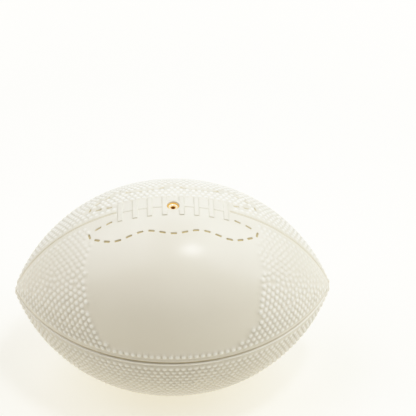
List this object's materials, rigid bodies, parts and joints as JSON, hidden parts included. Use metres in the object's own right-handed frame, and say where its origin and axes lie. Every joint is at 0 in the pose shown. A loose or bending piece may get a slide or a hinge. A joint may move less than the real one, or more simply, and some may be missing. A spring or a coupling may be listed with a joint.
{
  "type": "mini american football",
  "caption": "Small inflated vinyl football with pointed ends, moulded seams, laces and pebble grain, and an amber rubber needle valve between the laces.",
  "frame": {"origin": "centre of the ball, midway between the tips and between its sides", "axes": "+X along the long axis from tip to tip, +Z out through the valve and the laces, -Y towards the side with the smooth imprint area"},
  "size_m": [0.1522, 0.104, 0.1044],
  "materials": {
    "vinyl": "glossy ivory PVC vinyl with a moulded pebble grain",
    "sleeve_rubber": "smooth translucent amber gum rubber",
    "core_rubber": "smooth translucent amber gum rubber, darker in the pilot hole"
  },
  "bodies": {
    "root": {"shell": "vinyl", "valve_sleeve": "sleeve_rubber", "valve_core": "core_rubber"}
  },
  "joints": []
}
